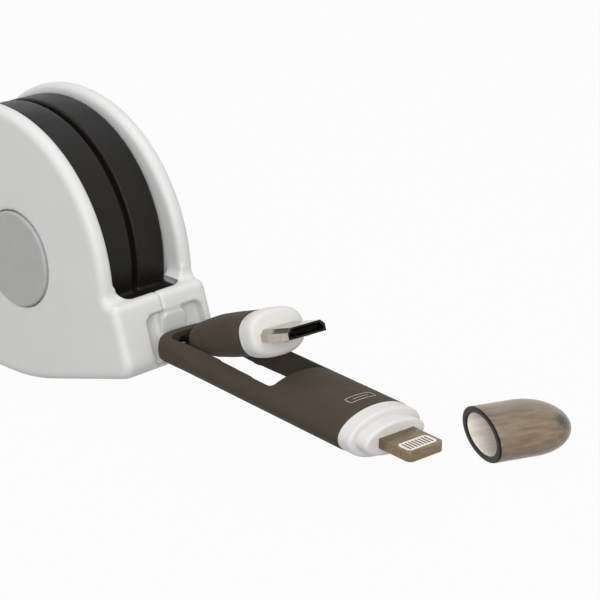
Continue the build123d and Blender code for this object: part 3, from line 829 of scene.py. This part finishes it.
@dataclass
class Adapter(Dresser):
    """The looped rubbery bar with its collar, tab and contacts.

    Attributes:
        seat: Axes of the adapter.
        half_width: Half the width of its oval section.
        half_height: Half its height.
        mark_at: Middle of the printed frame along the adapter.
        mark_shift: Its distance from the adapter's middle line.
        mark_size: Its width along the adapter and its length across it.
        mark_round: Radius of its corners.
        mark_line: Width of the printed line.
        mark_bar: Share of its half width that the inner bar takes.
        mark_steps: Points on each outline of the frame.
        mark_cuts: Cuts of each long side, which let it follow the bar's crown.
        mark_lift: Height of the ink's underside over the bar.
        mark_depth: Thickness of the ink.
        loop_length: Length of the loop's end that is drawn in.
        loop_pull: How far it is drawn in at its middle.
        loop_corner: How much further at its corners.
        loop_narrow: Share of its width that its upper and lower edges lose.
        loop_thin: Share of its lower half's height that it loses.
        loop_sag: How far its end hangs.
        bar_soft: Rounding of the bar's edges, with cells that lie along the adapter.
        tab_edge: Round on the tab's edges.
        socket_edge: Round on the socket's edges.
    """

    body: Body = Body.ADAPTER
    seat: HeadFrame = field(kw_only=True)
    half_width: float = 7.2
    half_height: float = 3.4
    mark_at: float = 43.7
    mark_shift: float = 0.5
    mark_size: tuple[float, float] = (1.7, 5.0)
    mark_round: float = 0.38
    mark_line: float = 0.14
    mark_bar: float = 0.58
    mark_steps: int = 48
    mark_cuts: int = 12
    mark_lift: float = 0.02
    mark_depth: float = 0.08
    loop_length: float = 9.0
    loop_pull: float = 1.0
    loop_corner: float = 0.5
    loop_narrow: float = 0.3
    loop_thin: float = 0.25
    loop_sag: float = 0.5
    bar_soft: Softening = Softening(0.11, 40, 0.45)
    tab_edge: float = 0.07
    socket_edge: float = 0.04

    def build(self) -> None:
        """Makes the bar, the collar, the tab and the printed frame."""
        along_seat = replace(self.bar_soft, yaw=self.seat.yaw)
        bar = self.soft_skin("adapter_body", "adapter_bar", SOFT_ELASTOMER, "grip_elastomer", along_seat)
        self.round_loop(bar)
        self.skin("adapter_collar", "adapter_rings", WHITE_ABS, "collar_plastic")
        self.skin("adapter_tab", "flat_tab", TAB_PLATE, "tab_metal", self.tab_edge)
        self.skin("contact_insert", "tab_insert", CONTACT_WHITE, "insert_plastic")
        self.skin("adapter_contacts", "tab_contacts", CONTACT_PLATE, "contact_gold")
        self.skin("adapter_socket", "socket_shell", NICKEL, "plug_steel", self.socket_edge)
        self.printed_frame()

    def round_loop(self, bar: Object) -> None:
        """Draws the end of the loop in a little, as soft rubber under the cable's pull.

        Args:
            bar: The dressed bar.
        """
        seat = self.seat.matrix()
        back = seat.inverted()
        for vert in bar.data.vertices:
            place = back @ vert.co
            behind = 1 - place.x / self.loop_length
            if behind <= 0:
                continue
            near_end = behind * behind
            side = abs(place.y) / self.half_width
            rise = place.z / self.half_height
            corner = side * side + 2 * rise * rise
            place.x += near_end * (self.loop_pull + self.loop_corner * corner)
            place.y *= 1 - self.loop_narrow * near_end * rise * rise
            if place.z < 0:
                place.z *= 1 - self.loop_thin * near_end
            place.z -= self.loop_sag * behind
            vert.co = seat @ place

    def printed_frame(self) -> None:
        """Makes the thin rounded frame that is printed on the bar's top, with a bar inside it."""
        bm = bmesh.new()
        outer = (self.mark_size[0] / 2, self.mark_size[1] / 2, self.mark_round)
        inner = tuple(part - self.mark_line for part in outer)
        for half_length, half_width, corner in (outer, inner):
            ring = bmesh.ops.create_circle(bm, segments=self.mark_steps, radius=corner)["verts"]
            half_step = Matrix.Rotation(math.pi / self.mark_steps, 3, "Z")
            bmesh.ops.rotate(bm, matrix=half_step, verts=ring)
            for vert in ring:
                vert.co.x += math.copysign(half_length - corner, vert.co.x)
                vert.co.y += math.copysign(half_width - corner, vert.co.y)
        bmesh.ops.bridge_loops(bm, edges=bm.edges)
        slot = bmesh.ops.create_grid(bm, x_segments=1, y_segments=self.mark_cuts, size=1.0)["verts"]
        for vert in slot:
            vert.co.x *= self.mark_line / 2
            vert.co.y *= self.mark_bar * self.mark_size[1] / 2
        sides = [e for e in bm.edges if e.calc_length() > self.mark_round]
        bmesh.ops.subdivide_edges(bm, edges=sides, cuts=self.mark_cuts, use_grid_fill=True)
        for vert in bm.verts:
            vert.co.y += self.mark_shift
            share = vert.co.y / self.half_width
            vert.co.z = self.half_height * math.sqrt(1 - share * share) + self.mark_lift
            vert.co.x += self.mark_at
        bmesh.ops.recalc_face_normals(bm, faces=bm.faces)
        bmesh.ops.solidify(bm, geom=bm.faces, thickness=self.mark_depth)
        bmesh.ops.transform(bm, matrix=self.seat.matrix(), verts=bm.verts)
        bmesh.ops.recalc_face_normals(bm, faces=bm.faces)
        self.dress(put_in_scene(bm, "printed_frame"), MARK_INK, "insert_plastic")


@dataclass(frozen=True)
class Section:
    """One section of a lofted form.

    Attributes:
        along: Its distance along the axis.
        half_width: Half its width.
        half_height: Half its height.
        square: Exponent of its outline, 2 for an oval and more for a squarer one.
    """

    along: float
    half_width: float
    half_height: float
    square: float = 2.2


def loft(sections: tuple[Section, ...], matrix: Matrix, steps: int = 96) -> BMesh:
    """Joins sections that stand across an axis into one closed form.

    Args:
        sections: Sections from the back to the front.
        matrix: From the axis's own millimetres to the row frame.
        steps: Points on each section.

    Returns:
        The closed form in the row frame.
    """
    bm = bmesh.new()
    rings = []
    for section in sections:
        ring = bmesh.ops.create_circle(bm, segments=steps, radius=1.0)["verts"]
        for vert in ring:
            side, rise = vert.co.x, vert.co.y
            power = 2 / section.square
            side = math.copysign(abs(side) ** power, side) * section.half_width
            rise = math.copysign(abs(rise) ** power, rise) * section.half_height
            vert.co = (section.along, side, rise)
        rings.append(ring)
    bridge_rings(bm, rings)
    bmesh.ops.transform(bm, matrix=matrix, verts=bm.verts)
    bmesh.ops.recalc_face_normals(bm, faces=bm.faces)
    smooth_by_angle(bm, LOFT_EDGE)
    return bm


@dataclass
class Plug(Dresser):
    """The small plug: moulded grip, white collar and metal shell.

    Attributes:
        seat: Axes of the plug, from the hinge forward.
        grip: Sections of the moulded grip.
        neck: Sections of the black sleeve between the cable and the grip.
        collar: Sections of the white collar.
        sheet_edge: Round on the shell's edges.
        tongue_edge: Round on the tongue's edges.
        facing: Cosine past which a face of the shell counts as its sheared front, which takes the painted
            shade.
    """

    body: Body = Body.PLUG
    seat: HeadFrame = field(kw_only=True)
    grip: tuple[Section, ...] = (
        Section(5.9, 3.2, 1.8),
        Section(6.0, 3.5, 2.1),
        Section(6.35, 3.8, 2.4),
        Section(7.2, 4.1, 2.68),
        Section(9.0, 4.4, 2.98),
        Section(11.2, 4.62, 3.26),
        Section(15.0, 4.7, 3.4),
        Section(19.0, 4.72, 3.42),
        Section(22.3, 4.82, 3.52, 2.4),
        Section(22.5, 4.75, 3.46, 2.4),
    )
    neck: tuple[Section, ...] = (
        Section(2.2, 1.9, 0.75, 3.0),
        Section(2.35, 2.1, 0.95, 3.0),
        Section(4.2, 2.5, 1.45, 3.0),
        Section(6.2, 2.8, 1.75, 3.0),
    )
    collar: tuple[Section, ...] = (
        Section(22.45, 4.8, 3.5, 2.5),
        Section(22.6, 4.95, 3.62, 2.5),
        Section(24.3, 5.0, 3.65, 2.6),
        Section(25.1, 4.96, 3.6, 2.6),
        Section(25.55, 4.8, 3.45, 2.6),
        Section(25.8, 4.5, 3.15, 2.6),
        Section(25.9, 4.0, 2.7, 2.6),
    )
    sheet_edge: float = 0.05
    tongue_edge: float = 0.03
    facing: float = 0.9

    def build(self) -> None:
        """Makes the grip, its sleeve, the collar, the shell and the tongue."""
        for sections, name, finish, slot, node in (
            (self.grip, "plug_handle", SOFT_ELASTOMER, "grip_elastomer", "plug_grip"),
            (self.neck, "plug_neck", CABLE_JACKET, "cable_jacket", "plug_grip"),
            (self.collar, "plug_ring", WHITE_ABS, "collar_plastic", "plug_collar"),
        ):
            piece = put_in_scene(loft(sections, self.seat.matrix()), name)
            self.dress(piece, finish, slot, (node,))
        sheet = self.skin("plug_shell", "shell_sheet", NICKEL, "plug_steel", self.sheet_edge)
        # The shell's front-facing faces get a near-black material: painted shade on its sheared edge
        sheet.data.materials.append(SHELL_FRONT_SHADE.material())
        for face in sheet.data.polygons:
            face.material_index = int(face.normal.dot(self.seat.ahead()) > self.facing)
        self.skin("plug_tongue", "shell_tongue", INSULATOR, "tongue_plastic", self.tongue_edge)


@dataclass
class FlatCable:
    """The flat cable from the reel to the plug, which bends where the plug hinges.

    Attributes:
        hinge: The hinge's place.
        start: Start of the straight stretch, at the winding.
        plug: Axes of the plug.
        width: Width of the cable.
        thickness: Its thickness.
        bend: Length of the bend on each side of the hinge.
        into_grip: How far it goes into the grip.
        straight_steps: Sections on the straight stretch.
        bend_steps: Sections in the bend.
        steps: Points on each section.
    """

    hinge: Vector
    start: Vector
    plug: HeadFrame
    width: float = 2.8
    thickness: float = 1.06
    bend: float = 2.6
    into_grip: float = 5.0
    straight_steps: int = 8
    bend_steps: int = 12
    steps: int = 32

    def route(self) -> list[Vector]:
        """Lays the middle line straight to the bend and straight into the grip.

        Returns:
            Points of the line, from the winding to the grip.
        """
        away = (self.start - self.hinge).normalized()
        ahead = self.plug.ahead()
        first = self.hinge + away * self.bend
        last = self.hinge + ahead * self.bend
        points = [self.start.lerp(first, step / self.straight_steps) for step in range(self.straight_steps)]
        for step in range(self.bend_steps + 1):
            share = step / self.bend_steps
            points.append(first.lerp(self.hinge, share).lerp(self.hinge.lerp(last, share), share))
        return points + [self.hinge + ahead * self.into_grip]

    def build(self) -> None:
        """Sweeps the flat section along the route, which bends between the two heads."""
        route = self.route()
        across = Vector((0, 1, 0))
        bm = bmesh.new()
        rings = []
        for index, point in enumerate(route):
            along = (route[min(index + 1, len(route) - 1)] - route[max(index - 1, 0)]).normalized()
            rise = along.cross(across).normalized()
            ring = bmesh.ops.create_circle(bm, segments=self.steps, radius=self.thickness / 2)["verts"]
            for vert in ring:
                side = vert.co.x + math.copysign((self.width - self.thickness) / 2, vert.co.x)
                vert.co = point + across * side - rise * vert.co.y
            rings.append(ring)
        bridge_rings(bm, rings)
        bmesh.ops.scale(bm, vec=(MM, MM, MM), verts=bm.verts)
        bmesh.ops.recalc_face_normals(bm, faces=bm.faces)
        smooth_by_angle(bm, LOFT_EDGE)
        cable = put_in_scene(bm, "flat_cable")
        cable.data.materials.append(CABLE_JACKET.material())
        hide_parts("cable_lead", "plug_tail")
        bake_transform(cable)
        LOG.info("flat_cable bends at the hinge")


@dataclass
class Cap(Dresser):
    """The smoked cap, taken off and lying on the floor.

    Attributes:
        mouth: Middle of its open end, on the floor.
        yaw: Turn about Z.
        half_width: Half its width.
        half_height: Half its height.
        length: Length from mouth to tip.
        straight: Length before the tip starts to round.
        wall: Wall thickness.
        lip_depth: Share of the wall's thickness that counts as the lip.
        gate_spot: Place of the gate mark along the cap, across it and above its axis.
        straight_steps: Steps of the straight stretch's outline.
        arc_steps: Steps of the rounded tip's outline.
        turns: Steps round the cap.
        touch: Distance below which two points of the outline are one.
    """

    body: Body = Body.HOUSING
    mouth: tuple[float, float] = (78.9, 20.5)
    yaw: float = 66.0
    half_width: float = 6.8
    half_height: float = 3.8
    length: float = 14.6
    straight: float = 7.3
    wall: float = 0.9
    lip_depth: float = 0.3
    gate_spot: tuple[float, float, float] = (12.0, -3.7, 2.1)
    straight_steps: int = 4
    arc_steps: int = 18
    turns: int = 72
    touch: float = 1e-4

    def wall_line(self, inset: float) -> list[Vector]:
        """Draws one side of the wall, from the mouth to the tip.

        Args:
            inset: Distance inside the outer surface.

        Returns:
            Points of the outline in the cap's own axes.
        """
        reach = self.length - self.straight - inset
        rise = self.half_height - inset
        steps = range(self.straight_steps)
        points = [Vector((self.straight * step / self.straight_steps, 0, rise)) for step in steps]
        for step in range(self.arc_steps + 1):
            angle = math.pi / 2 * step / self.arc_steps
            points.append(Vector((self.straight + reach * math.sin(angle), 0, rise * math.cos(angle))))
        return points

    def shell(self) -> BMesh:
        """Spins the wall and rounds its lip.

        Returns:
            The cap as round as its height, in its own millimetres, with its mouth at the origin.
        """
        bm = bmesh.new()
        verts = [bm.verts.new(point) for point in self.wall_line(0)[::-1] + self.wall_line(self.wall)]
        edges = [bm.edges.new(pair) for pair in zip(verts, verts[1:])]
        bmesh.ops.spin(
            bm,
            geom=verts + edges,
            cent=(0, 0, 0),
            axis=(1, 0, 0),
            angle=math.tau,
            steps=self.turns,
            use_merge=True,
        )
        bmesh.ops.remove_doubles(bm, verts=bm.verts, dist=self.touch)
        lips = [e for e in bm.edges if all(abs(v.co.x) < self.touch for v in e.verts) and e.is_manifold]
        around = [e for e in lips if abs(e.verts[0].co.yz.length - e.verts[1].co.yz.length) < self.touch]
        bmesh.ops.bevel(
            bm,
            geom=around,
            offset=self.wall / 4,
            offset_type="OFFSET",
            segments=3,
            profile=0.5,
            affect="EDGES",
            material=-1,
        )
        return bm

    def build(self) -> None:
        """Makes the cap oval, lays it down and tells its outside from its lip, painted dark, and its
        inside, painted pale.
        """
        bm = self.shell()
        turn = Matrix.Rotation(math.radians(self.yaw), 3, "Z")
        mouth = Vector((*self.mouth, self.half_height))
        bmesh.ops.scale(bm, vec=(1, self.half_width / self.half_height, 1), verts=bm.verts)
        bmesh.ops.rotate(bm, matrix=turn, verts=bm.verts)
        bmesh.ops.translate(bm, vec=mouth, verts=bm.verts)
        bmesh.ops.scale(bm, vec=(MM, MM, MM), verts=bm.verts)
        bmesh.ops.recalc_face_normals(bm, faces=bm.faces)
        smooth_by_angle(bm, CAP_EDGE)
        heading = turn @ Vector((1, 0, 0))
        for face in bm.faces:
            middle = face.calc_center_median() - mouth * MM
            axial = middle.dot(heading)
            if axial < self.lip_depth * self.wall * MM:
                face.material_index = CapSide.LIP
            elif face.normal.dot(middle - heading * min(axial, self.straight * MM)) < 0:
                face.material_index = CapSide.INSIDE
        cap = put_in_scene(bm, "smoked_cap")
        gate = (mouth + turn @ Vector(self.gate_spot)) * MM
        self.dress(cap, replace(SMOKED_WALL, gate=tuple(gate)), "cap_plastic", ("dust_cap",))
        cap.data.materials.append(SMOKED_LIP_SHADE.material())
        cap.data.materials.append(SMOKED_INSIDE_LIGHT.material())


@dataclass(frozen=True)
class Lamp:
    """A soft square lamp.

    Attributes:
        name: Name of the lamp.
        place: Its place in metres.
        size: Side in metres.
        power: Power in watts.
    """

    name: str
    place: tuple[float, float, float]
    size: float
    power: float


@dataclass
class Studio:
    """Floor, lamps and camera.

    Attributes:
        target: Point that the camera looks at.
        eye: Place of the camera.
        lens: Focal length.
        sensor: Sensor width.
        clip: Nearest and farthest distance that the camera sees, in metres.
        floor_size: Half the side of the floor in metres.
        floor_tone: Grey that the floor throws light back with.
        floor_glow: Share of plain white that the camera sees in the floor.
        sky_light: Strength of the world's light on the object.
        lamps: The lamps.
    """

    target: tuple[float, float, float] = (66.7, -6.1, 29.6)
    eye: tuple[float, float, float] = (264.7, -204.1, 137.1)
    lens: float = 126.0
    sensor: float = 36.0
    clip: tuple[float, float] = (0.01, 20.0)
    floor_size: float = 3.0
    floor_tone: str = "#a2a2a2"
    floor_glow: float = 0.965
    sky_light: float = 0.6
    lamps: tuple[Lamp, ...] = (
        Lamp("top_lamp", (0.15, -0.05, 0.9), 0.7, 2.6),
        Lamp("front_lamp", (0.7, -0.62, 0.4), 0.5, 4.9),
    )

    def hang(self, name: str, data: ID, place: Vector) -> Object:
        """Puts a camera or a lamp in the scene and points it at the target.

        Args:
            name: Name of the object.
            data: The camera's or the lamp's data.
            place: Its place in metres.

        Returns:
            The new object.
        """
        thing = bpy.data.objects.new(name, data)
        bpy.context.scene.collection.objects.link(thing)
        thing.location = place
        aim = Vector(self.target) * MM - place
        thing.rotation_euler = aim.to_track_quat("-Z", "Y").to_euler()
        return thing

    def camera(self) -> None:
        """Sets the camera at the photograph's angle."""
        data = bpy.data.cameras.new("studio_camera")
        data.lens = self.lens
        data.sensor_width = self.sensor
        data.clip_start, data.clip_end = self.clip
        bpy.context.scene.camera = self.hang("studio_camera", data, Vector(self.eye) * MM)

    def seen_light(self, tree: NodeTree) -> NodeSocket:
        """Tells the rays that look at a surface from those that light it.

        Args:
            tree: Node tree that asks.

        Returns:
            Socket with one for camera, glossy and transmission rays, and zero for the rest.
        """
        rays = add_node(tree, "ShaderNodeLightPath")
        seen = rays.outputs["Is Camera Ray"]
        for kind in ("Is Glossy Ray", "Is Transmission Ray"):
            either = {0: seen, 1: rays.outputs[kind]}
            seen = add_node(tree, "ShaderNodeMath", {"operation": "MAXIMUM"}, either).outputs[0]
        return seen

    def floor(self) -> None:
        """Lays a white floor that keeps a faint shadow."""
        bm = bmesh.new()
        bmesh.ops.create_grid(bm, x_segments=1, y_segments=1, size=self.floor_size)
        floor = put_in_scene(bm, "studio_floor")
        made = blank_material("paper_floor")
        tree = made.node_tree
        paper = add_node(tree, "ShaderNodeBsdfDiffuse", {"Color": linear(self.floor_tone)})
        glow = add_node(tree, "ShaderNodeEmission", {"Color": linear("#ffffff"), "Strength": 1.0})
        part = {"operation": "MULTIPLY", 1: self.floor_glow}
        share = add_node(tree, "ShaderNodeMath", part, {0: self.seen_light(tree)})
        shares = {0: share.outputs[0], 1: paper.outputs[0], 2: glow.outputs[0]}
        mixed = add_node(tree, "ShaderNodeMixShader", links=shares)
        add_node(tree, "ShaderNodeOutputMaterial", links={"Surface": mixed.outputs[0]})
        floor.data.materials.append(made)

    def sky(self) -> None:
        """Sets a white world that lights the object from all sides."""
        world = bpy.data.worlds.new("studio_sky")
        world.use_nodes = True
        bpy.context.scene.world = world
        tree = world.node_tree
        tree.nodes.clear()
        strength = remap(tree, self.seen_light(tree), (0.0, 1.0), (self.sky_light, 1.0))
        light = add_node(tree, "ShaderNodeBackground", {"Color": linear("#ffffff")}, {"Strength": strength})
        add_node(tree, "ShaderNodeOutputWorld", links={"Surface": light.outputs[0]})

    def build(self) -> None:
        """Sets the camera, the floor, the world and the lamps."""
        self.camera()
        self.floor()
        self.sky()
        for lamp in self.lamps:
            data = bpy.data.lights.new(lamp.name, "AREA")
            data.size = lamp.size
            data.energy = lamp.power
            self.hang(lamp.name, data, Vector(lamp.place))
        bpy.context.scene.view_settings.view_transform = "Standard"


def main() -> None:
    """Builds every part of the scene in order."""
    logging.basicConfig(level=logging.INFO, format="%(message)s")
    hinge = Vector(next(j for j in frame["joints"] if j["name"] == "plug_fold")["pos_m"]) / MM
    turn = math.radians(ADAPTER_YAW)
    start = hinge - Vector((math.cos(turn), math.sin(turn), 0)) * HINGE_TO_START
    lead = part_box("cable_lead")[0] / MM
    lead_start = Vector((lead.x + LEAD_INSET, hinge.y, lead.z + LEAD_INSET))
    plug_seat = HeadFrame(tuple(hinge), PLUG_YAW, PLUG_PITCH)
    Studio().build()
    Housing().build()
    Reel().build()
    Latch().build()
    PushButton().build()
    Adapter(seat=HeadFrame(tuple(start), ADAPTER_YAW, 0.0)).build()
    Plug(seat=plug_seat).build()
    FlatCable(hinge, lead_start, plug_seat).build()
    Cap().build()
    LOG.info("sizes written")


if __name__ == "__main__":
    main()
